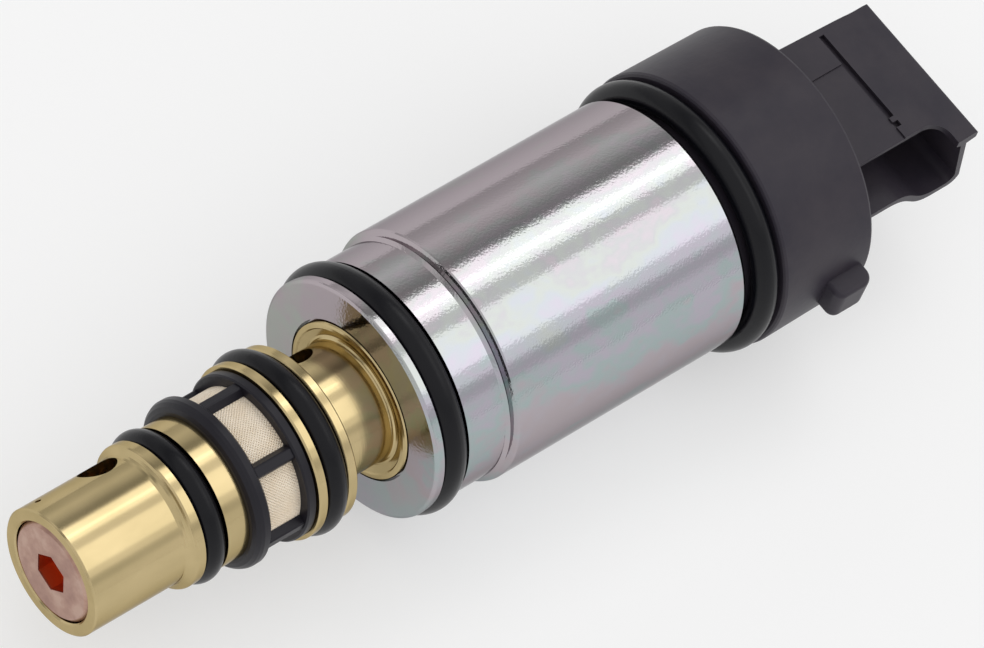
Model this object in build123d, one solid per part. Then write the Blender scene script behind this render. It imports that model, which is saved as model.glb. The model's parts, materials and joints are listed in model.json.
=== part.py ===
from build123d import *
import math
import os

# Compressor control valve: a brass spool valve with a bellows in its nose, driven by a solenoid.
# +X runs along the valve axis from the brass nose to the connector, -Y is the way the plug goes
# out of its socket, and +Z is the socket's flat face. The origin is on the axis, at the shoulder
# of the solenoid can. All sizes are in millimetres.

# Lengths of the brass body along the axis, from the nose to its collar
nose_length = 9.9
flare_length = 0.75
lip_length = 0.95
flare_steps = (0.0, 0.3, 0.55, 0.8, 0.95)
front_gland_width = 2.5
band_length = 2.35
filter_length = 6.75
fence_length = 1.0
middle_gland_width = 2.4
guard_length = 1.0
neck_length = 5.3
collar_rise = 0.63
collar_proud = 0.3

# Radii of the brass body
nose_r = 6.22
lip_r = 7.03
front_gland_r = 5.15
band_r = 7.03
filter_seat_r = 6.75
fence_r = 8.6
middle_gland_r = 6.72
guard_r = 8.55
neck_r = 6.0
collar_lip_r = 7.25
collar_r = 7.8
collar_groove_depth = 0.4
collar_fillet = 0.2
edge_break = 0.15
cut_overrun = 1.0

# Passages inside the brass body
chamber_r = 4.3
chamber_depth = 14.6
guide_bore_length = 3.0
rod_clearance = 0.05
seat_bore_r = 1.9
seat_depth = 25.2
valve_chamber_r = 3.5
discharge_port_r = 1.1
discharge_port_count = 4
discharge_port_turn = 30.0
suction_port_r = 1.9
suction_port_depth = 8.0
crankcase_port_r = 1.75
crankcase_port_depth = 30.2
port_angle = 37.0
stake_r = 0.3
stake_inset = 1.5

# Adjusting plug and its socket
plug_r = 4.86
plug_gap = 0.1
plug_recess = 0.0
plug_length = 4.95
plug_chamfer = 0.3
hex_across_flats = 3.5
hex_depth = 2.6
hex_angle = 13.6

# Bellows set
bellows_r = 3.8
bellows_inner_r = 2.75
bellows_wall = 0.14
bellows_folds = 6
bellows_length = 6.4
bellows_cup_r = 3.55
bellows_cup_length = 0.8
bellows_stem_r = 1.25
bellows_stop_gap = 1.6
bellows_spring_r = 2.0
bellows_spring_wire = 0.34
bellows_spring_turns = 4

# Valve rod
rod_r = 1.2
rod_socket_depth = 0.5
poppet_r = 2.45
poppet_length = 1.9
poppet_taper = 0.9
poppet_gap = 1.0
spring_collar_r = 3.15
spring_collar_length = 0.8
opening_spring_length = 5.6
opening_spring_r = 2.95
opening_spring_wire = 0.34
opening_spring_turns = 4

# Filter cage and its mesh
filter_ring_r = 8.28
filter_rear_ring_r = 8.22
filter_front_ring_length = 1.6
filter_rear_ring_length = 1.0
filter_ring_edge = 0.45
filter_bar_r = 7.93
filter_bar_top = 1.05
filter_bar_edge = 0.12
filter_bar_base = 1.7
filter_bar_count = 6
filter_angle = 0.0
filter_clearance = 0.03
mesh_r = 7.1
mesh_thickness = 0.16
mesh_ridge = 0.05
mesh_ridges = 90
mesh_lap = 0.6

# Rubber rings: section diameters
front_seal_section = 2.3
middle_seal_section = 2.33
flange_seal_section = 2.74
head_seal_section = 2.5
sleeve_seal_section = 1.2
seal_clearance = 0.02

# Steel front flange
flange_length = 9.03
flange_r = 11.78
flange_edge = 0.3
flange_rim_length = 0.92
flange_gland_width = 2.85
flange_gland_r = 9.63
flange_shoulder_r = 12.12
shoulder_cone_length = 0.3
seam_depth = 0.3
seam_offset = 0.46
flange_counterbore_r = 8.02
flange_counterbore_depth = 0.6
collar_length = 5.0
flange_inner_length = 3.1

# Solenoid can
can_r = 12.5
can_wall = 1.3
can_length = 27.15
can_edge = 0.45

# Magnetic core, plunger and sleeve
sleeve_r = 4.6
sleeve_wall = 0.35
sleeve_start = 0.6
sleeve_overhang = 1.6
core_gap = 1.1
core_head_length = 4.4
core_bore_r = 1.35
plunger_length = 11.0
plunger_end_gap = 2.23
plunger_clearance = 0.08
plunger_rod_depth = 3.6
plunger_pocket_r = 2.6
plunger_pocket_depth = 3.0
plunger_spring_r = 2.05
plunger_spring_wire = 0.32
plunger_spring_turns = 3
spring_clearance = 0.03

# Coil
part_clearance = 0.05
bobbin_wall = 1.0
bobbin_flange_r = 10.8
bobbin_flange_thickness = 1.2
winding_r = 10.3
winding_grooves = 12
winding_groove_depth = 0.25
washer_thickness = 1.75
washer_slot_margin = 0.5
sleeve_seal_gland_width = 1.5

# Moulded head
head_gland_width = 3.3
head_length = 10.9
head_r = 13.72
head_taper = 0.14
head_drop = 0.27
head_edge = 0.35
head_gland_depth = 2.67
hub_clearance = 0.15
hub_inset = 1.0
lug_foot_r = 10.0
lug_radius = 15.85
lug_width = 3.6
lug_length = 4.4
lug_from_face = 5.4
lug_front_round = 0.9
lug_rear_round = 1.3
lug_side_round = 0.45

# Plug socket, a sleeve with a wide round part and a narrow flat part
socket_length = 16.55
socket_back = 7.35
socket_mouth = 9.4
socket_top = 4.1
socket_taper = 0.55
socket_wall = 0.7
narrow_floor = 1.75
wide_floor = 4.75
narrow_length = 7.2
step_length = 6.8
end_wall_waist = 1.1
end_rib_depth = 1.2
end_rib_width = 1.25
end_rib_round = 0.25
end_foot_out = 0.45
valley_depth = 0.12
valley_width = 1.6
outer_round = 1.2
cavity_floor = 1.5
cavity_start = 1.5
top_cutback = 3.0
top_cut_end = 2.45
top_cut_round = 1.9
slot_from_end = 6.6
slot_width = 0.6
slot_depth = 0.5
slot_start = 6.3
slot_end = 5.1
nib_length = 0.55
nib_from_end = 1.15
recess_depth = 0.2
recess_start = 2.9
back_cut_thickness = 10.0

# Terminal blades
blade_width = 2.0
blade_thickness = 0.64
blade_height = 1.35
blade_tip = 4.3
near_blade_from_head = 5.3
far_blade_from_head = 11.3
leg_offset = 5.95
leg_width = 1.3
leg_gap = 0.28

# Stations along the axis
shoulder_x = 0.0
flange_x = shoulder_x - flange_length
collar_x = flange_x - collar_proud
neck_end_x = collar_x - collar_rise
guard_end_x = neck_end_x - neck_length
guard_x = guard_end_x - guard_length
fence_end_x = guard_x - middle_gland_width
fence_x = fence_end_x - fence_length
filter_x = fence_x - filter_length
band_x = filter_x - band_length
lip_end_x = band_x - front_gland_width
lip_x = lip_end_x - lip_length
flare_x = lip_x - flare_length
nose_x = flare_x - nose_length
seat_x = nose_x + seat_depth
chamber_end_x = nose_x + chamber_depth
guide_end_x = chamber_end_x + guide_bore_length
plug_x = nose_x + plug_recess
plug_end_x = plug_x + plug_length
collar_end_x = flange_x + collar_length
seam_x = shoulder_x - seam_offset
flange_end_x = shoulder_x + flange_inner_length
can_end_x = shoulder_x + can_length
head_x = can_end_x + head_gland_width
head_end_x = head_x + head_length
socket_end_x = head_end_x + socket_length
core_x = collar_end_x - core_head_length
sleeve_x = collar_end_x + sleeve_start
sleeve_end_x = can_end_x + sleeve_overhang
plunger_end_x = sleeve_end_x - sleeve_wall - plunger_end_gap
plunger_x = plunger_end_x - plunger_length
core_end_x = plunger_x - core_gap
bobbin_x = flange_end_x + part_clearance
washer_x = can_end_x - hub_inset - washer_thickness
washer_end_x = washer_x + washer_thickness
bobbin_end_x = washer_x - part_clearance
hub_x = washer_end_x + part_clearance
bellows_x = plug_end_x + bellows_cup_length
bellows_end_x = bellows_x + bellows_length
end_cap_end_x = bellows_end_x + bellows_cup_length
poppet_x = seat_x + poppet_gap
poppet_end_x = poppet_x + poppet_length
spring_collar_x = seat_x + opening_spring_length
rod_x = end_cap_end_x - rod_socket_depth
rod_end_x = plunger_x + plunger_rod_depth

# Radii that follow from others
can_inner_r = can_r - can_wall
hub_r = can_inner_r - hub_clearance
head_rear_r = head_r - head_taper
head_gland_r = head_r - head_gland_depth
sleeve_inner_r = sleeve_r - sleeve_wall
bobbin_r = sleeve_r + part_clearance
core_r = sleeve_inner_r - seal_clearance
plunger_r = sleeve_inner_r - plunger_clearance
blade_low = blade_height - blade_thickness / 2
blade_high = blade_height + blade_thickness / 2


def turned(*corners):
    """Solid turned about the valve axis from its (x, radius) corners."""
    return revolve(make_face(Polyline(*corners, close=True)), axis=Axis.X)


def tube(x, end_x, outer_r, inner_r):
    """Plain ring between two stations."""
    return turned((x, inner_r), (x, outer_r), (end_x, outer_r), (end_x, inner_r))


def rod(x, end_x, radius):
    """Plain cylinder between two stations."""
    return turned((x, 0), (x, radius), (end_x, radius), (end_x, 0))


def block(x, end_x, y, end_y, z, end_z):
    """Box between two corners."""
    size = (end_x - x, end_y - y, end_z - z)
    centre = ((x + end_x) / 2, (y + end_y) / 2, (z + end_z) / 2)
    return Pos(*centre) * Box(*size)


def radial_hole(x, angle, radius, reach):
    """Cylinder that runs out from the axis at an angle from +Y towards +Z."""
    return Pos(x, 0, 0) * Rot(angle, 0, 0) * Pos(0, reach / 2, 0) * Rot(90, 0, 0) * Cylinder(radius, reach)


def seal_ring(x, floor_r, section):
    """Rubber ring that sits on a gland floor."""
    ring_r = floor_r + seal_clearance + section / 2
    return Pos(x, 0, 0) * Rot(0, 90, 0) * Torus(ring_r, section / 2)


def coil_spring(x, end_x, mean_r, wire, turns):
    """Round-wire compression spring between two faces."""
    rise = end_x - x - wire - 2 * spring_clearance
    path = Helix(pitch=rise / turns, height=rise, radius=mean_r)
    section = Plane(path @ 0, z_dir=path % 0) * Circle(wire / 2)
    wound = sweep(section, path=path)
    return Pos(x + wire / 2 + spring_clearance, 0, 0) * Rot(0, 90, 0) * wound


def terminal_passage(x, end_x):
    """Slot that both terminal legs pass through."""
    return block(
        x,
        end_x,
        leg_offset - washer_slot_margin,
        leg_offset + blade_thickness + washer_slot_margin,
        blade_low - leg_gap - leg_width - washer_slot_margin,
        blade_low + leg_width + washer_slot_margin,
    )


def valve_body():
    """Turned brass body with its ports, glands and collar."""
    flare = [(flare_x + t * flare_length, nose_r + t * t * (lip_r - nose_r)) for t in flare_steps]
    outside = turned(
        (nose_x, 0),
        (nose_x, nose_r - edge_break),
        (nose_x + edge_break, nose_r),
        *flare,
        (lip_x + edge_break, lip_r),
        (lip_end_x, lip_r),
        (lip_end_x, front_gland_r),
        (band_x, front_gland_r),
        (band_x, band_r),
        (filter_x - filter_clearance, band_r),
        (filter_x - filter_clearance, filter_seat_r),
        (fence_x, filter_seat_r),
        (fence_x, fence_r - edge_break),
        (fence_x + edge_break, fence_r),
        (fence_end_x - edge_break, fence_r),
        (fence_end_x, fence_r - edge_break),
        (fence_end_x, middle_gland_r),
        (guard_x, middle_gland_r),
        (guard_x, guard_r - edge_break),
        (guard_x + edge_break, guard_r),
        (guard_end_x - edge_break, guard_r),
        (guard_end_x, guard_r - edge_break),
        (guard_end_x, neck_r),
        (collar_x, neck_r),
        (collar_x + collar_groove_depth - collar_fillet, neck_r + collar_fillet / 3),
        (collar_x + collar_groove_depth - collar_fillet / 3, neck_r + collar_fillet),
        (collar_x + collar_groove_depth, neck_r + 2 * collar_fillet),
        (collar_x + edge_break, collar_lip_r - edge_break),
        (collar_x, collar_lip_r),
        (collar_x + edge_break / 3, collar_r - 2 * edge_break),
        (collar_x + edge_break, collar_r - edge_break / 2),
        (collar_x + 2 * edge_break, collar_r),
        (collar_end_x, collar_r),
        (collar_end_x, 0),
    )
    plug_bore_r = plug_r + plug_gap
    inside = turned(
        (nose_x - cut_overrun, 0),
        (nose_x - cut_overrun, plug_bore_r + edge_break),
        (nose_x, plug_bore_r + edge_break),
        (nose_x + edge_break, plug_bore_r),
        (plug_end_x, plug_bore_r),
        (plug_end_x, chamber_r),
        (chamber_end_x, chamber_r),
        (chamber_end_x, rod_r + rod_clearance),
        (guide_end_x, rod_r + rod_clearance),
        (guide_end_x, seat_bore_r),
        (seat_x, seat_bore_r),
        (seat_x, valve_chamber_r),
        (core_x, valve_chamber_r),
        (core_x, sleeve_r),
        (collar_end_x + cut_overrun, sleeve_r),
        (collar_end_x + cut_overrun, 0),
    )
    body = outside - inside
    for side in (0, 180):
        body -= radial_hole(nose_x + suction_port_depth, port_angle + side, suction_port_r, nose_r + lip_r)
        body -= radial_hole(nose_x + crankcase_port_depth, port_angle + side, crankcase_port_r, fence_r)
        stake = Pos(nose_x + stake_inset, 0, 0) * Rot(port_angle + side, 0, 0) * Pos(0, nose_r, 0)
        body -= stake * Rot(90, 0, 0) * Cylinder(stake_r, 2 * stake_r)
    filter_middle_x = filter_x + filter_length / 2
    for turn in range(discharge_port_count):
        angle = filter_angle + discharge_port_turn + 360 * turn / discharge_port_count
        body -= radial_hole(filter_middle_x, angle, discharge_port_r, fence_r)
    return body


def adjusting_plug():
    """Screw plug that presses on the bellows, with a hexagon socket."""
    plug = turned(
        (plug_x, 0),
        (plug_x, plug_r - plug_chamfer),
        (plug_x + plug_chamfer, plug_r),
        (plug_end_x - plug_chamfer, plug_r),
        (plug_end_x, plug_r - plug_chamfer),
        (plug_end_x, 0),
    )
    corner_r = hex_across_flats / math.sqrt(3)
    hexagon = RegularPolygon(corner_r, 6, rotation=hex_angle)
    socket = Plane(origin=(plug_x, 0, 0), x_dir=(0, 1, 0), z_dir=(1, 0, 0)) * hexagon
    return plug - extrude(socket, hex_depth)


def bellows_base():
    """Fixed cup of the bellows, with the stem that limits its travel."""
    stem_end_x = bellows_x + (bellows_length - bellows_stop_gap) / 2
    return turned(
        (plug_end_x, 0),
        (plug_end_x, bellows_cup_r),
        (bellows_x, bellows_cup_r),
        (bellows_x, bellows_stem_r),
        (stem_end_x, bellows_stem_r),
        (stem_end_x, 0),
    )


def bellows():
    """Thin folded metal tube."""
    pitch = bellows_length / bellows_folds
    fold_shape = (
        (0.15, bellows_inner_r),
        (0.35, bellows_r),
        (0.65, bellows_r),
        (0.85, bellows_inner_r),
    )
    outer, inner = [], []
    for fold in range(bellows_folds):
        x = bellows_x + fold * pitch
        for share, radius in fold_shape:
            outer.append((x + share * pitch, radius))
            inner.append((x + share * pitch, radius - bellows_wall))
    start = [(bellows_x, bellows_inner_r), *outer, (bellows_end_x, bellows_inner_r)]
    back = [(bellows_end_x, bellows_inner_r - bellows_wall), *reversed(inner)]
    return turned(*start, *back, (bellows_x, bellows_inner_r - bellows_wall))


def bellows_end_cap():
    """Moving cup of the bellows, which carries the rod's tip."""
    stem_x = bellows_end_x - (bellows_length - bellows_stop_gap) / 2
    return turned(
        (stem_x, 0),
        (stem_x, bellows_stem_r),
        (bellows_end_x, bellows_stem_r),
        (bellows_end_x, bellows_cup_r),
        (end_cap_end_x, bellows_cup_r),
        (end_cap_end_x, rod_r),
        (rod_x, rod_r),
        (rod_x, 0),
    )


def bellows_spring():
    """Spring that holds the bellows open."""
    return coil_spring(bellows_x, bellows_end_x, bellows_spring_r, bellows_spring_wire, bellows_spring_turns)


def valve_rod():
    """Long rod with the valve's poppet and the collar of its spring."""
    return turned(
        (rod_x, 0),
        (rod_x, rod_r),
        (poppet_x, rod_r),
        (poppet_x + poppet_taper, poppet_r),
        (poppet_end_x, poppet_r),
        (poppet_end_x, rod_r),
        (spring_collar_x, rod_r),
        (spring_collar_x, spring_collar_r),
        (spring_collar_x + spring_collar_length, spring_collar_r),
        (spring_collar_x + spring_collar_length, rod_r),
        (rod_end_x, rod_r),
        (rod_end_x, 0),
    )


def opening_spring():
    """Spring that holds the valve open."""
    return coil_spring(seat_x, spring_collar_x, opening_spring_r, opening_spring_wire, opening_spring_turns)


def filter_frame():
    """Moulded cage that holds the mesh over the discharge ports."""
    front_end_x = filter_x + filter_front_ring_length
    rear_x = fence_x - filter_clearance - filter_rear_ring_length
    end_x = fence_x - filter_clearance
    inner_r = filter_seat_r + filter_clearance
    edge = filter_ring_edge
    front = turned(
        (filter_x, inner_r),
        (filter_x, filter_ring_r - 2 * edge),
        (filter_x + 0.3 * edge, filter_ring_r - edge),
        (filter_x + edge, filter_ring_r - 0.3 * edge),
        (filter_x + 1.7 * edge, filter_ring_r),
        (front_end_x - edge / 2, filter_ring_r),
        (front_end_x, filter_ring_r - edge / 2),
        (front_end_x, inner_r),
    )
    rear = turned(
        (rear_x, inner_r),
        (rear_x, filter_rear_ring_r - edge / 3),
        (rear_x + edge / 3, filter_rear_ring_r),
        (end_x - edge / 3, filter_rear_ring_r),
        (end_x, filter_rear_ring_r - edge / 3),
        (end_x, inner_r),
    )
    frame = front + rear
    foot_r = mesh_r + filter_clearance
    bar_face = make_face(
        Polyline(
            (filter_seat_r, -filter_bar_base / 2),
            (filter_bar_r - filter_bar_edge, -filter_bar_top / 2),
            (filter_bar_r, -filter_bar_top / 2 + filter_bar_edge),
            (filter_bar_r, filter_bar_top / 2 - filter_bar_edge),
            (filter_bar_r - filter_bar_edge, filter_bar_top / 2),
            (filter_seat_r, filter_bar_base / 2),
            close=True,
        )
    )
    section = Plane(origin=(front_end_x - mesh_lap, 0, 0), x_dir=(0, 1, 0), z_dir=(1, 0, 0))
    bar = extrude(section * bar_face, rear_x - front_end_x + 2 * mesh_lap)
    for turn in range(filter_bar_count):
        frame += Rot(filter_angle + 360 * turn / filter_bar_count, 0, 0) * bar
    mesh_seat = tube(front_end_x - mesh_lap, rear_x + mesh_lap, foot_r, inner_r - cut_overrun)
    return frame - mesh_seat


def filter_mesh():
    """Fine sleeve of woven mesh, ridged along its wires."""
    x = filter_x + filter_front_ring_length - mesh_lap + filter_clearance
    end_x = fence_x - filter_clearance - filter_rear_ring_length + mesh_lap - filter_clearance
    corners = []
    for ridge in range(2 * mesh_ridges):
        radius = mesh_r - mesh_ridge * (ridge % 2)
        angle = math.pi * ridge / mesh_ridges
        corners.append((radius * math.cos(angle), radius * math.sin(angle)))
    outline = make_face(Polyline(*corners, close=True)) - Circle(mesh_r - mesh_thickness)
    section = Plane(origin=(x, 0, 0), x_dir=(0, 1, 0), z_dir=(1, 0, 0))
    return extrude(section * outline, end_x - x)


def front_o_ring():
    """Ring in the gland behind the nose."""
    return seal_ring((lip_end_x + band_x) / 2, front_gland_r, front_seal_section)


def middle_o_ring():
    """Ring in the gland behind the filter."""
    return seal_ring((fence_end_x + guard_x) / 2, middle_gland_r, middle_seal_section)


def front_flange():
    """Steel pole piece that carries the brass body and the large ring."""
    rim_end_x = flange_x + flange_rim_length
    gland_end_x = rim_end_x + flange_gland_width
    outside = turned(
        (flange_x, 0),
        (flange_x, flange_r - flange_edge),
        (flange_x + flange_edge / 2, flange_r - flange_edge / 6),
        (flange_x + flange_edge, flange_r),
        (rim_end_x, flange_r),
        (rim_end_x, flange_gland_r),
        (gland_end_x, flange_gland_r),
        (gland_end_x, flange_r),
        (seam_x - shoulder_cone_length - seam_depth, flange_r),
        (seam_x - seam_depth, flange_shoulder_r),
        (seam_x, flange_shoulder_r - seam_depth),
        (seam_x, can_inner_r),
        (flange_end_x, can_inner_r),
        (flange_end_x, 0),
    )
    gland_x = flange_end_x - sleeve_seal_gland_width
    seal_gland_r = bobbin_r + sleeve_seal_section + seal_clearance
    inside = turned(
        (flange_x - cut_overrun, 0),
        (flange_x - cut_overrun, flange_counterbore_r),
        (flange_x + flange_counterbore_depth, flange_counterbore_r),
        (flange_x + flange_counterbore_depth, collar_r),
        (collar_end_x, collar_r),
        (collar_end_x, bobbin_r),
        (gland_x, bobbin_r),
        (gland_x, seal_gland_r),
        (flange_end_x + cut_overrun, seal_gland_r),
        (flange_end_x + cut_overrun, 0),
    )
    return outside - inside


def flange_o_ring():
    """Large ring in the flange's gland."""
    gland_x = flange_x + flange_rim_length + flange_gland_width / 2
    return seal_ring(gland_x, flange_gland_r, flange_seal_section)


def solenoid_can():
    """Drawn steel can round the coil."""
    return turned(
        (seam_x, can_inner_r),
        (seam_x, flange_shoulder_r - seam_depth),
        (seam_x + seam_depth, flange_shoulder_r + seam_depth),
        (shoulder_x, can_r),
        (can_end_x - can_edge, can_r),
        (can_end_x - can_edge / 3, can_r - can_edge / 3),
        (can_end_x, can_r - can_edge),
        (can_end_x, can_inner_r),
    )


def fixed_core():
    """Core that the coil pulls the plunger towards."""
    return turned(
        (core_x, core_bore_r),
        (core_x, sleeve_r - part_clearance),
        (collar_end_x, sleeve_r - part_clearance),
        (collar_end_x, core_r),
        (core_end_x, core_r),
        (core_end_x, core_bore_r),
    )


def plunger():
    """Sliding plunger on the end of the rod."""
    pocket_x = plunger_end_x - plunger_pocket_depth
    return turned(
        (plunger_x, rod_r),
        (plunger_x, plunger_r - edge_break),
        (plunger_x + edge_break, plunger_r),
        (plunger_end_x - edge_break, plunger_r),
        (plunger_end_x, plunger_r - edge_break),
        (plunger_end_x, plunger_pocket_r),
        (pocket_x, plunger_pocket_r),
        (pocket_x, 0),
        (rod_end_x, 0),
        (rod_end_x, rod_r),
    )


def plunger_spring():
    """Light spring behind the plunger."""
    pocket_x = plunger_end_x - plunger_pocket_depth
    end_x = sleeve_end_x - sleeve_wall
    return coil_spring(pocket_x, end_x, plunger_spring_r, plunger_spring_wire, plunger_spring_turns)


def plunger_sleeve():
    """Deep-drawn cup that the plunger slides in."""
    return turned(
        (sleeve_x, sleeve_inner_r),
        (sleeve_x, sleeve_r),
        (sleeve_end_x - sleeve_wall, sleeve_r),
        (sleeve_end_x, sleeve_r - sleeve_wall),
        (sleeve_end_x, 0),
        (sleeve_end_x - sleeve_wall, 0),
        (sleeve_end_x - sleeve_wall, sleeve_inner_r),
    )


def coil_bobbin():
    """Moulded spool of the coil."""
    return turned(
        (bobbin_x, bobbin_r),
        (bobbin_x, bobbin_flange_r),
        (bobbin_x + bobbin_flange_thickness, bobbin_flange_r),
        (bobbin_x + bobbin_flange_thickness, bobbin_r + bobbin_wall),
        (bobbin_end_x - bobbin_flange_thickness, bobbin_r + bobbin_wall),
        (bobbin_end_x - bobbin_flange_thickness, bobbin_flange_r),
        (bobbin_end_x, bobbin_flange_r),
        (bobbin_end_x, bobbin_r),
    )


def coil_winding():
    """Copper winding, with the outer turns as rounded ridges."""
    x = bobbin_x + bobbin_flange_thickness + part_clearance
    end_x = bobbin_end_x - bobbin_flange_thickness - part_clearance
    inner_r = bobbin_r + bobbin_wall + part_clearance
    pitch = (end_x - x) / winding_grooves
    corners = [(x, inner_r), (x, winding_r - winding_groove_depth)]
    for turn in range(winding_grooves):
        corners.append((x + (turn + 0.3) * pitch, winding_r))
        corners.append((x + (turn + 0.7) * pitch, winding_r))
        corners.append((x + (turn + 1.0) * pitch, winding_r - winding_groove_depth))
    return turned(*corners, (end_x, inner_r))


def flux_washer():
    """Steel washer that closes the magnetic path, notched for the terminals."""
    washer = tube(washer_x, washer_end_x, can_inner_r - part_clearance, bobbin_r)
    return washer - terminal_passage(washer_x - cut_overrun, washer_end_x + cut_overrun)


def sleeve_seal():
    """Small ring between the flange and the sleeve."""
    return seal_ring(flange_end_x - sleeve_seal_gland_width / 2, sleeve_r, sleeve_seal_section)


def head_o_ring():
    """Ring between the can and the head."""
    x = head_x - part_clearance - head_seal_section / 2
    return Pos(0, -head_drop, 0) * seal_ring(x, head_gland_r, head_seal_section)


def socket_section(inset, x):
    """Cross-section of the plug socket from a station to its end, inset by a wall."""
    top = socket_top - inset
    narrow = inset - narrow_floor
    wide = inset - wide_floor
    step_x = head_end_x + narrow_length + inset / 2
    middle_x = step_x + step_length / 2
    wide_x = step_x + step_length
    foot_x = socket_end_x + end_foot_out - inset
    waist_x = socket_end_x - end_wall_waist - inset
    waist = socket_top - end_rib_depth
    rounding = outer_round - inset / 3
    bulge = rounding * (1 - math.sqrt(0.5))
    floor = [
        Line((x, narrow), (step_x, narrow)),
        Bezier((step_x, narrow), (middle_x, narrow), (middle_x, wide), (wide_x, wide)),
        Line((wide_x, wide), (foot_x - rounding, wide)),
    ]
    corner = (foot_x - bulge, wide + bulge)
    side = [
        ThreePointArc((foot_x - rounding, wide), corner, (foot_x, wide + rounding)),
        Line((foot_x, wide + rounding), (waist_x, waist)),
    ]
    if inset:
        roof = [
            Line((waist_x, waist), (waist_x - rounding, top)),
            Line((waist_x - rounding, top), (x, top)),
        ]
    else:
        rib_x = socket_end_x - end_rib_width
        valley_x = rib_x - valley_width
        middle_x = rib_x - valley_width / 2
        bottom = top - valley_depth
        roof = [
            Polyline(
                (waist_x, waist),
                (socket_end_x, waist + end_rib_round),
                (socket_end_x, top - end_rib_round),
                (socket_end_x - end_rib_round / 3, top - end_rib_round / 3),
                (socket_end_x - end_rib_round, top),
            ),
            Bezier((socket_end_x - end_rib_round, top), (rib_x, top), (rib_x, bottom), (middle_x, bottom)),
            Bezier((middle_x, bottom), (valley_x, bottom), (valley_x, top), (valley_x - valley_width, top)),
            Line((valley_x - valley_width, top), (x, top)),
        ]
    edges = [*floor, *side, *roof, Line((x, top), (x, narrow))]
    return Plane.XZ * make_face(edges)


def plug_socket():
    """Side-entry sleeve that the plug goes into, still without its terminals' slots."""
    outer = Pos(0, socket_back, 0) * extrude(
        socket_section(0, head_end_x - head_edge), socket_back + socket_mouth
    )
    lean = math.degrees(math.atan(socket_taper / socket_length))
    back_cut = Pos(head_end_x, socket_back, 0) * Rot(0, 0, -lean) * Pos(0, back_cut_thickness / 2, 0)
    outer -= back_cut * Box(3 * socket_length, back_cut_thickness, 4 * socket_top)
    cavity_length = socket_mouth + cavity_floor + cut_overrun
    cavity = socket_section(socket_wall, head_end_x + cavity_start)
    outer -= Pos(0, cavity_floor, 0) * extrude(cavity, cavity_length)
    cut_end_x = socket_end_x - top_cut_end
    cut_y = top_cutback - socket_mouth
    cut = block(head_end_x, cut_end_x, cut_y - 2 * top_cutback, cut_y, socket_top / 2, 2 * socket_top)
    inner_corner = cut.edges().filter_by(Axis.Z).sort_by(Axis.X)[-2:].sort_by(Axis.Y)[-1]
    outer -= fillet(inner_corner, top_cut_round)
    return outer - latch_slot()


def latch_slot():
    """Slot for the plug's catch, broken by a small nib, and the shallow recess beside it."""
    slot_x = socket_end_x - slot_from_end
    slot_floor = socket_top - slot_depth
    slot = block(slot_x, slot_x + slot_width, -slot_end, slot_start, slot_floor, 2 * socket_top)
    nib_y = nib_from_end - slot_end
    nib = block(slot_x, slot_x + slot_width, nib_y - nib_length, nib_y, slot_floor, socket_top)
    recess_floor = socket_top - recess_depth
    recess = block(head_end_x, slot_x, -2 * socket_mouth, recess_start, recess_floor, 2 * socket_top)
    return slot - nib + recess


def keying_lug():
    """Rounded lug on the head's rim that sets the valve's angle in its bore."""
    lug_x = head_end_x - lug_from_face
    lug = block(lug_x, lug_x + lug_length, -lug_radius, -lug_foot_r, -lug_width / 2, lug_width / 2)
    lug = fillet(lug.edges().filter_by(Axis.Z).group_by(Axis.Y)[0].sort_by(Axis.X)[-1], lug_rear_round)
    lug = fillet(lug.edges().filter_by(Axis.Z).group_by(Axis.Y)[0].sort_by(Axis.X)[0], lug_front_round)
    return fillet(lug.faces().filter_by(Axis.Z).edges(), lug_side_round)


def connector_head():
    """Moulded head with its hub, lug and plug socket."""
    disc = turned(
        (head_x, 0),
        (head_x, head_r - head_edge),
        (head_x + head_edge / 3, head_r - head_edge / 3),
        (head_x + head_edge, head_r),
        (head_end_x - head_edge, head_rear_r),
        (head_end_x - head_edge / 3, head_rear_r - head_edge / 3),
        (head_end_x, head_rear_r - head_edge),
        (head_end_x, 0),
    )
    head = Pos(0, -head_drop, 0) * disc
    head += Pos(0, -head_drop, 0) * rod(can_end_x, head_x, head_gland_r)
    head += rod(hub_x, can_end_x, hub_r)
    head += keying_lug()
    head += plug_socket()
    head -= rod(hub_x - cut_overrun, sleeve_end_x + part_clearance, bobbin_r)
    return head - near_terminal() - far_terminal()


def terminal(blade_x, leg_low):
    """Bent blade: a leg along the axis from the coil, a tab at its end and a blade in the socket."""
    x = blade_x - blade_width / 2
    end_x = blade_x + blade_width / 2
    end_y = leg_offset + blade_thickness
    leg_high = leg_low + leg_width
    start_x = bobbin_end_x + part_clearance / 2
    leg = block(start_x, end_x, leg_offset, end_y, leg_low, leg_high)
    tab = block(x, end_x, leg_offset, end_y, min(leg_low, blade_low), max(leg_high, blade_high))
    blade = block(x, end_x, -blade_tip, end_y, blade_low, blade_high)
    tip = blade.faces().sort_by(Axis.Y)[0].edges().filter_by(Axis.X)
    return leg + tab + chamfer(tip, blade_thickness / 4)


def near_terminal():
    """Terminal nearer the head."""
    return terminal(head_end_x + near_blade_from_head, blade_low)


def far_terminal():
    """Terminal nearer the socket's end, whose leg passes under the other one."""
    return terminal(head_end_x + far_blade_from_head, blade_low - leg_gap - leg_width)


nodes = (
    valve_body,
    adjusting_plug,
    bellows_base,
    bellows,
    bellows_end_cap,
    bellows_spring,
    valve_rod,
    opening_spring,
    filter_frame,
    filter_mesh,
    front_o_ring,
    middle_o_ring,
    front_flange,
    flange_o_ring,
    solenoid_can,
    fixed_core,
    plunger,
    plunger_spring,
    plunger_sleeve,
    coil_bobbin,
    coil_winding,
    flux_washer,
    sleeve_seal,
    head_o_ring,
    connector_head,
    near_terminal,
    far_terminal,
)

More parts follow.
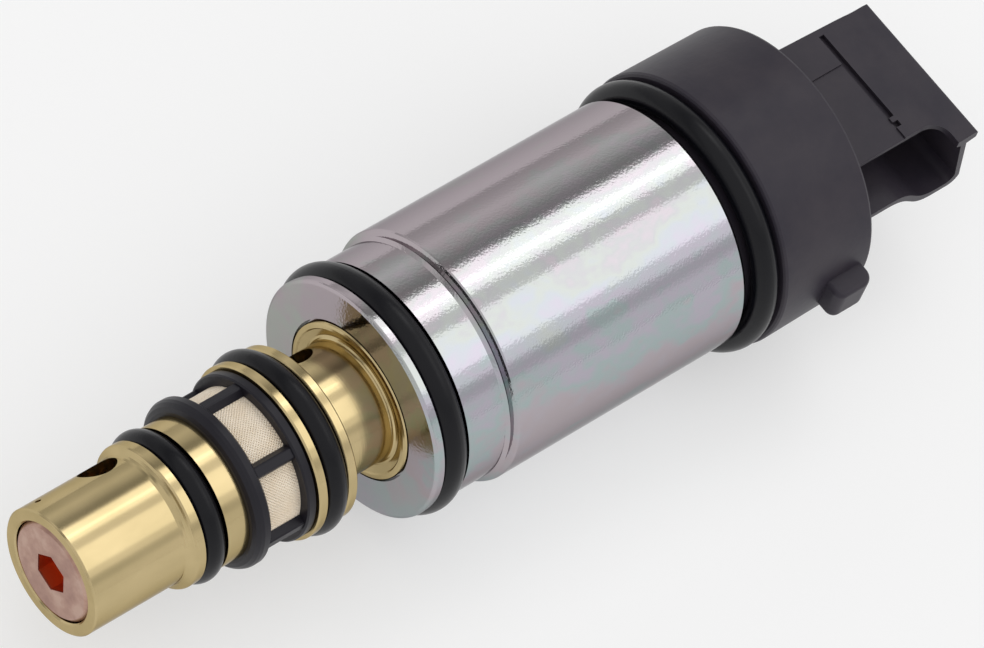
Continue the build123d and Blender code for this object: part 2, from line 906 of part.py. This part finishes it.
os.makedirs("parts", exist_ok=True)
for node in nodes:
    export_step(node(), f"parts/{node.__name__}.step")
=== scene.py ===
"""Looks of a compressor control valve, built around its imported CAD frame."""

import json
import math

import bpy
from mathutils import Matrix, Vector


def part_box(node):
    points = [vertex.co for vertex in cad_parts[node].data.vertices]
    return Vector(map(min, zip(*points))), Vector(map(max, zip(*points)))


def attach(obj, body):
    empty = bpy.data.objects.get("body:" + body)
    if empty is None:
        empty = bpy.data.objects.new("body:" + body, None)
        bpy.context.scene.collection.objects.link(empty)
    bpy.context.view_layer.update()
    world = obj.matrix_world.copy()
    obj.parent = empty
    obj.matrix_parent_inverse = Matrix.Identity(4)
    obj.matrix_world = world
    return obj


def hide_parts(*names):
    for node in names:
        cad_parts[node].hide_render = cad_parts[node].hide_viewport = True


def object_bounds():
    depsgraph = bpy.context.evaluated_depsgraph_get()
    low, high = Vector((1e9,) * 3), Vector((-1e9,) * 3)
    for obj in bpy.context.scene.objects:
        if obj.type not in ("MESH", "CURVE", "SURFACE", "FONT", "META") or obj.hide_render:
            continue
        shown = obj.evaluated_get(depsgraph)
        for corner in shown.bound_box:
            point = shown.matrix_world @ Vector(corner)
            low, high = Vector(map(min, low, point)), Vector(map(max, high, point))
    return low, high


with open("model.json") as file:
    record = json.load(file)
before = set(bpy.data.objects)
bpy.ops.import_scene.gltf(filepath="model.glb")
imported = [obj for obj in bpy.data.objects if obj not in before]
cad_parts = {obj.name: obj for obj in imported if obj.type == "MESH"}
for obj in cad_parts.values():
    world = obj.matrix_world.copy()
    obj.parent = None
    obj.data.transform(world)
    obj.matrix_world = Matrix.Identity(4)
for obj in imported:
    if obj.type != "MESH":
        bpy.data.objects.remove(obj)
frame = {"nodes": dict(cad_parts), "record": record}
cad_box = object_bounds()
nodes = frame["nodes"]

# Stations and radii of the frame, in metres
nose_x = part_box("valve_body")[0][0]
plug_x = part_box("adjusting_plug")[0][0]
sleeve_low, sleeve_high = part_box("filter_mesh")

# How the photograph looks at the valve
image_width = 984
image_height = 648
focal_pixels = 8010.8
nose_pixel = (50.72, 573.28)
nose_depth = 0.69124
axis_from_sight = math.radians(60.62)
axis_rise = math.radians(30.06)
roll = math.radians(19.6)

# Wires of the filter's weave
wire_count = 136
wire_r = 0.000096
wire_swing = 0.00004

# Soft light: strips with where they start and end, in degrees round the axis from +Y, and strength
strip_distance = 1.2
strip_length = 0.7
strip_middle = 0.66
strips = (
    (59.0, 84.0, 1.15),
    (71.5, 76.0, 1.0),
    (84.0, 99.0, 0.2),
    (99.0, 136.0, 0.9),
    (136.0, 148.0, 0.3),
)
# World light's share of its strength, at degrees round the axis
world_bands = (
    (0, 0.6),
    (14, 0.72),
    (24, 0.92),
    (31, 0.8),
    (38, 0.66),
    (45, 0.45),
    (54, 0.33),
    (58.5, 0.85),
    (61, 1.0),
    (148, 1.0),
    (154, 0.78),
    (160, 0.78),
    (166, 1.0),
)
world_strength = 0.9
floor_glow = 0.45

# Painted reflection tints on the plating, at degrees round the axis
painted_tint_wander = 0.9
painted_reflection_tints = (
    (-180, (0.44, 0.39, 0.41)),
    (-150, (0.38, 0.43, 0.43)),
    (-110, (0.43, 0.40, 0.45)),
    (-60, (0.45, 0.40, 0.41)),
    (0, (0.41, 0.43, 0.40)),
    (35, (0.44, 0.385, 0.41)),
    (62, (0.44, 0.39, 0.41)),
    (76, (0.41, 0.41, 0.41)),
    (89, (0.45, 0.41, 0.44)),
    (97, (0.41, 0.41, 0.42)),
    (106, (0.42, 0.44, 0.42)),
    (120, (0.41, 0.43, 0.46)),
    (137, (0.44, 0.41, 0.47)),
    (152, (0.37, 0.44, 0.44)),
    (168, (0.44, 0.40, 0.43)),
    (180, (0.44, 0.39, 0.41)),
)


def calculate(tree, operation, *values):
    """Math node on sockets or numbers."""
    node = tree.nodes.new("ShaderNodeMath")
    node.operation = operation
    for socket, value in zip(node.inputs, values):
        if isinstance(value, bpy.types.NodeSocket):
            tree.links.new(value, socket)
        else:
            socket.default_value = value
    return node.outputs["Value"]


def spread(tree, value, low, high):
    """Value brought from its own range to the one from 0 to 1."""
    node = tree.nodes.new("ShaderNodeMapRange")
    node.inputs["From Min"].default_value = low
    node.inputs["From Max"].default_value = high
    tree.links.new(value, node.inputs["Value"])
    return node.outputs["Result"]


def stretched_coordinates(tree, scale):
    """Object coordinates in metres, scaled along each axis."""
    source = tree.nodes.new("ShaderNodeTexCoord")
    mapping = tree.nodes.new("ShaderNodeMapping")
    mapping.inputs["Scale"].default_value = scale
    tree.links.new(source.outputs["Object"], mapping.inputs["Vector"])
    return mapping.outputs["Vector"]


def noise(tree, scale, detail=3.0, rough=0.5, low=0.35, high=0.65):
    """Noise brought to the whole range from 0 to 1."""
    texture = tree.nodes.new("ShaderNodeTexNoise")
    texture.inputs["Scale"].default_value = 1.0
    texture.inputs["Detail"].default_value = detail
    texture.inputs["Roughness"].default_value = rough
    tree.links.new(stretched_coordinates(tree, scale), texture.inputs["Vector"])
    return spread(tree, texture.outputs["Fac"], low, high)


def ramp(tree, factor, stops):
    """Colour ramp through (position, colour) stops."""
    node = tree.nodes.new("ShaderNodeValToRGB")
    elements = node.color_ramp.elements
    while len(elements) > 1:
        elements.remove(elements[-1])
    elements[0].position = stops[0][0]
    elements[0].color = (*stops[0][1], 1.0)
    for position, color in stops[1:]:
        elements.new(position).color = (*color, 1.0)
    tree.links.new(factor, node.inputs["Fac"])
    return node.outputs["Color"]


def bump(tree, shader, height, distance, strength=1.0):
    """Bump of a true height in metres."""
    node = tree.nodes.new("ShaderNodeBump")
    node.inputs["Strength"].default_value = strength
    node.inputs["Distance"].default_value = distance
    tree.links.new(height, node.inputs["Height"])
    tree.links.new(node.outputs["Normal"], shader.inputs["Normal"])


def material(name, color, metallic, roughness, specular=0.5):
    """Plain principled material, with its tree and shader."""
    made = bpy.data.materials.new(name)
    made.use_nodes = True
    shader = made.node_tree.nodes["Principled BSDF"]
    shader.inputs["Base Color"].default_value = (*color, 1.0)
    shader.inputs["Metallic"].default_value = metallic
    shader.inputs["Roughness"].default_value = roughness
    shader.inputs["Specular IOR Level"].default_value = specular
    return made, made.node_tree, shader


def brass():
    """Turned brass with fine lathe marks round the axis."""
    made, tree, shader = material("turned_brass", (0.53, 0.415, 0.215), 1.0, 0.16)
    shader.inputs["Specular Tint"].default_value = (0.62, 0.58, 0.5, 1.0)
    marks = noise(tree, (9000, 60, 60), detail=2.0)
    bump(tree, shader, marks, 0.0000012)
    tone = noise(tree, (120, 260, 260), detail=3.0)
    color = ramp(tree, tone, ((0.0, (0.49, 0.39, 0.205)), (1.0, (0.56, 0.445, 0.24))))
    tree.links.new(color, shader.inputs["Base Color"])
    return made


def copper_plug():
    """Pink-brown plug with smudges, and painted orange inter-reflection colour deeper in its hexagon."""
    made, tree, shader = material("plug_copper", (0.44, 0.27, 0.21), 1.0, 0.36)
    tone = noise(tree, (500, 420, 420), detail=4.0, rough=0.6)
    face = ramp(tree, tone, ((0.0, (0.36, 0.21, 0.17)), (0.6, (0.45, 0.28, 0.22)), (1.0, (0.52, 0.35, 0.28))))
    place = tree.nodes.new("ShaderNodeSeparateXYZ")
    tree.links.new(stretched_coordinates(tree, (1, 1, 1)), place.inputs["Vector"])
    inside = spread(tree, place.outputs["X"], plug_x + 0.00002, plug_x + 0.00025)
    across = calculate(tree, "MULTIPLY", place.outputs["Y"], place.outputs["Y"])
    upright = calculate(tree, "MULTIPLY", place.outputs["Z"], place.outputs["Z"])
    away = calculate(tree, "ADD", across, upright)
    near_middle = calculate(tree, "LESS_THAN", away, 0.0023 ** 2)
    # Painted reflection: the saturated orange of copper's inter-reflections, laid into the hexagon's hollow
    # and stronger deeper in
    painted_bounce_mask = calculate(tree, "MULTIPLY", inside, near_middle)
    mix = tree.nodes.new("ShaderNodeMix")
    mix.data_type = "RGBA"
    tree.links.new(painted_bounce_mask, mix.inputs["Factor"])
    tree.links.new(face, mix.inputs[6])
    mix.inputs[7].default_value = (0.75, 0.26, 0.10, 1.0)
    tree.links.new(mix.outputs[2], shader.inputs["Base Color"])
    bump(tree, shader, tone, 0.00001)
    return made


def plated_steel():
    """Bright zinc plating, grainy close up, with painted reflection tints that change with the angle round
    the axis, broken by random patches.
    """
    made, tree, shader = material("plated_steel", (0.42, 0.42, 0.43), 1.0, 0.11)
    shader.inputs["Specular Tint"].default_value = (0.55, 0.54, 0.55, 1.0)
    place = tree.nodes.new("ShaderNodeSeparateXYZ")
    tree.links.new(stretched_coordinates(tree, (1, 1, 1)), place.inputs["Vector"])
    turn = calculate(tree, "ARCTAN2", place.outputs["Z"], place.outputs["Y"])
    patches = noise(tree, (150, 210, 210), detail=3.0, rough=0.65, low=0.3, high=0.7)
    wander = calculate(tree, "MULTIPLY", calculate(tree, "SUBTRACT", patches, 0.5), painted_tint_wander)
    # Painted reflection: tints chosen by the angle round the axis, shifted a little by noise patches
    share = spread(tree, calculate(tree, "ADD", turn, wander), -math.pi, math.pi)
    stops = [((degrees + 180) / 360, color) for degrees, color in painted_reflection_tints]
    tree.links.new(ramp(tree, share, stops), shader.inputs["Base Color"])
    grain = noise(tree, (5200, 3600, 3600), detail=1.0)
    bump(tree, shader, grain, 0.0000036)
    return made


def rubber():
    """Black oiled rubber."""
    made, tree, shader = material("seal_rubber", (0.004, 0.004, 0.006), 0.0, 0.27, 0.22)
    grain = noise(tree, (1800, 1800, 1800), detail=2.0)
    bump(tree, shader, grain, 0.000003)
    return made


def filter_plastic():
    """Dark bluish moulded cage."""
    made, tree, shader = material("filter_plastic", (0.012, 0.011, 0.016), 0.0, 0.38, 0.24)
    grain = noise(tree, (1500, 1500, 1500), detail=2.0)
    bump(tree, shader, grain, 0.000004)
    return made


def filter_weave():
    """Cream wire of the weave."""
    made, tree, shader = material("filter_weave", (0.90, 0.80, 0.64), 0.0, 0.5, 0.4)
    tone = noise(tree, (400, 400, 400), detail=3.0)
    color = ramp(tree, tone, ((0.0, (0.88, 0.76, 0.60)), (1.0, (0.94, 0.84, 0.70))))
    tree.links.new(color, shader.inputs["Base Color"])
    return made


def head_plastic():
    """Charcoal moulding with a faint mottled sheen."""
    made, tree, shader = material("head_plastic", (0.030, 0.025, 0.035), 0.0, 0.45, 0.27)
    tone = noise(tree, (180, 180, 180), detail=4.0, rough=0.6)
    color = ramp(tree, tone, ((0.0, (0.025, 0.021, 0.031)), (1.0, (0.036, 0.030, 0.039))))
    tree.links.new(color, shader.inputs["Base Color"])
    grain = noise(tree, (1300, 1300, 1300), detail=3.0)
    bump(tree, shader, grain, 0.000006)
    return made


def plain_metal(name, color, roughness):
    """Inner metal piece with fine marks."""
    made, tree, shader = material(name, color, 1.0, roughness)
    marks = noise(tree, (4000, 300, 300), detail=2.0)
    bump(tree, shader, marks, 0.000002)
    return made


def coil_plastic():
    """Moulded spool of the coil."""
    made, tree, shader = material("coil_plastic", (0.09, 0.09, 0.10), 0.0, 0.5)
    grain = noise(tree, (1500, 1500, 1500), detail=2.0)
    bump(tree, shader, grain, 0.000004)
    return made


materials = {
    "body_brass": brass(),
    "plug_copper": copper_plug(),
    "bellows_bronze": plain_metal("bellows_bronze", (0.62, 0.40, 0.20), 0.25),
    "spring_steel": plain_metal("spring_steel", (0.52, 0.52, 0.54), 0.25),
    "rod_steel": plain_metal("rod_steel", (0.6, 0.6, 0.62), 0.2),
    "filter_plastic": filter_plastic(),
    "filter_weave": filter_weave(),
    "seal_rubber": rubber(),
    "plated_steel": plated_steel(),
    "core_steel": plain_metal("core_steel", (0.42, 0.42, 0.43), 0.35),
    "sleeve_steel": plain_metal("sleeve_steel", (0.55, 0.55, 0.57), 0.22),
    "coil_plastic": coil_plastic(),
    "coil_copper": plain_metal("coil_copper", (0.55, 0.20, 0.08), 0.3),
    "head_plastic": head_plastic(),
    "terminal_brass": plain_metal("terminal_brass", (0.62, 0.54, 0.34), 0.25),
}

for subpart in frame["record"]["subparts"]:
    piece = nodes[subpart["node"]]
    piece.data.materials.clear()
    piece.data.materials.append(materials[subpart["material_slot"]])


def camera_axes():
    """The picture's right, down and forward directions in the valve's frame."""
    axis = Vector(
        (
            math.sin(axis_from_sight) * math.cos(axis_rise),
            -math.sin(axis_from_sight) * math.sin(axis_rise),
            math.cos(axis_from_sight),
        )
    )
    sight = Vector((0, 0, 1))
    towards = (axis * axis.dot(sight) - sight).normalized()
    across = axis.cross(towards)
    mouth = across * math.cos(roll) + towards * math.sin(roll)
    face = towards * math.cos(roll) - across * math.sin(roll)
    to_valve = Matrix((axis, -mouth, face))
    return axis, mouth, face, to_valve


def place_camera():
    """Camera that sees the nose's centre and the axis as the photograph does."""
    axis, mouth, face, to_valve = camera_axes()
    offset_x = (nose_pixel[0] - image_width / 2) / focal_pixels
    offset_y = (nose_pixel[1] - image_height / 2) / focal_pixels
    nose = Vector((offset_x, offset_y, 1.0)) * nose_depth
    centre = Vector((nose_x, 0, 0)) - to_valve @ nose
    right, down, forward = (to_valve @ Vector(v) for v in ((1, 0, 0), (0, 1, 0), (0, 0, 1)))
    lens = bpy.data.cameras.new("camera")
    lens.sensor_width = 36.0
    lens.lens = focal_pixels * lens.sensor_width / image_width
    lens.clip_start = 0.01
    lens.clip_end = 50.0
    camera = bpy.data.objects.new("camera", lens)
    turn = Matrix((right, -down, -forward)).transposed()
    camera.matrix_world = Matrix.Translation(centre) @ turn.to_4x4()
    bpy.context.scene.collection.objects.link(camera)
    bpy.context.scene.camera = camera


def place_weave():
    """Sleeve woven from fine wires, wound both ways over the filter's seat."""
    sleeve_r = sleeve_high[1] - wire_r
    length = sleeve_high[0] - sleeve_low[0]
    crossing = math.pi * sleeve_r / wire_count
    steps = 2 * round(length / crossing)
    points = []
    faces = []
    for way in (1, -1):
        for wire in range(wire_count):
            start = len(points)
            for step in range(steps + 1):
                along = length * step / steps
                angle = math.tau * wire / wire_count + way * along / sleeve_r
                middle_r = sleeve_r + way * wire_swing * math.cos(math.pi * along / crossing)
                outward = Vector((0, math.cos(angle), math.sin(angle)))
                aside = Vector((-way, -math.sin(angle), math.cos(angle))).normalized()
                middle = Vector((sleeve_low[0] + along, 0, 0)) + outward * middle_r
                for side in (outward, aside, -outward, -aside):
                    points.append(middle + side * wire_r)
            for step in range(steps):
                ring = start + 4 * step
                for corner in range(4):
                    after = (corner + 1) % 4
                    faces.append((ring + corner, ring + after, ring + 4 + after, ring + 4 + corner))
    mesh = bpy.data.meshes.new("filter_weave")
    mesh.from_pydata(points, [], faces)
    mesh.polygons.foreach_set("use_smooth", [True] * len(faces))
    mesh.materials.append(materials["filter_weave"])
    weave = bpy.data.objects.new("filter_weave", mesh)
    bpy.context.scene.collection.objects.link(weave)
    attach(weave, "housing")
    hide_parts("filter_mesh")


def place_floor():
    """Plain white floor under the valve, which keeps its shadow."""
    lowest = cad_box[0][2]
    bpy.ops.mesh.primitive_plane_add(size=8.0, location=(0, 0, lowest - 0.0001))
    floor = bpy.context.object
    floor.name = "floor"
    made, tree, shader = material("floor_white", (0.93, 0.93, 0.93), 0.0, 0.8, 0.2)
    glow = tree.nodes.new("ShaderNodeEmission")
    path = tree.nodes.new("ShaderNodeLightPath")
    seen = calculate(tree, "MAXIMUM", path.outputs["Is Camera Ray"], path.outputs["Is Glossy Ray"])
    seen = calculate(tree, "MAXIMUM", seen, path.outputs["Is Transmission Ray"])
    blend = tree.nodes.new("ShaderNodeMixShader")
    tree.links.new(calculate(tree, "MULTIPLY", seen, floor_glow), blend.inputs["Fac"])
    tree.links.new(shader.outputs["BSDF"], blend.inputs[1])
    tree.links.new(glow.outputs["Emission"], blend.inputs[2])
    tree.links.new(blend.outputs["Shader"], tree.nodes["Material Output"].inputs["Surface"])
    floor.data.materials.append(made)


def place_strip(number, start, end, strength):
    """One soft strip, at a distance, facing the valve."""
    angle = math.radians((start + end) / 2)
    width = 2 * strip_distance * math.tan(math.radians(end - start) / 2)
    lamp = bpy.data.lights.new(f"strip_{number}", "AREA")
    lamp.shape = "RECTANGLE"
    lamp.size = strip_length
    lamp.size_y = width
    lamp.energy = strength * math.pi * strip_length * width
    outward = Vector((0, math.cos(angle), math.sin(angle)))
    along = Vector((1, 0, 0))
    turn = Matrix((along, outward.cross(along), outward)).transposed()
    light = bpy.data.objects.new(lamp.name, lamp)
    centre = outward * strip_distance + along * strip_middle
    light.matrix_world = Matrix.Translation(centre) @ turn.to_4x4()
    bpy.context.scene.collection.objects.link(light)


def place_world():
    """White world light that is dimmer in a few bands along the valve."""
    world = bpy.data.worlds.new("studio")
    world.use_nodes = True
    tree = world.node_tree
    way = tree.nodes.new("ShaderNodeSeparateXYZ")
    tree.links.new(tree.nodes.new("ShaderNodeTexCoord").outputs["Generated"], way.inputs["Vector"])
    angle = calculate(tree, "ARCTAN2", way.outputs["Z"], way.outputs["Y"])
    stops = [(math.radians(turn) / math.pi, (level, level, level)) for turn, level in world_bands]
    color = ramp(tree, spread(tree, angle, 0.0, math.pi), stops)
    tree.links.new(color, tree.nodes["Background"].inputs["Color"])
    tree.nodes["Background"].inputs["Strength"].default_value = world_strength
    bpy.context.scene.world = world


place_weave()
place_floor()
place_world()
for number, (start, end, strength) in enumerate(strips):
    place_strip(number, start, end, strength)
place_camera()
bpy.context.scene.view_settings.view_transform = "Standard"
bpy.context.scene.cycles.max_bounces = 16
bpy.context.scene.cycles.glossy_bounces = 16
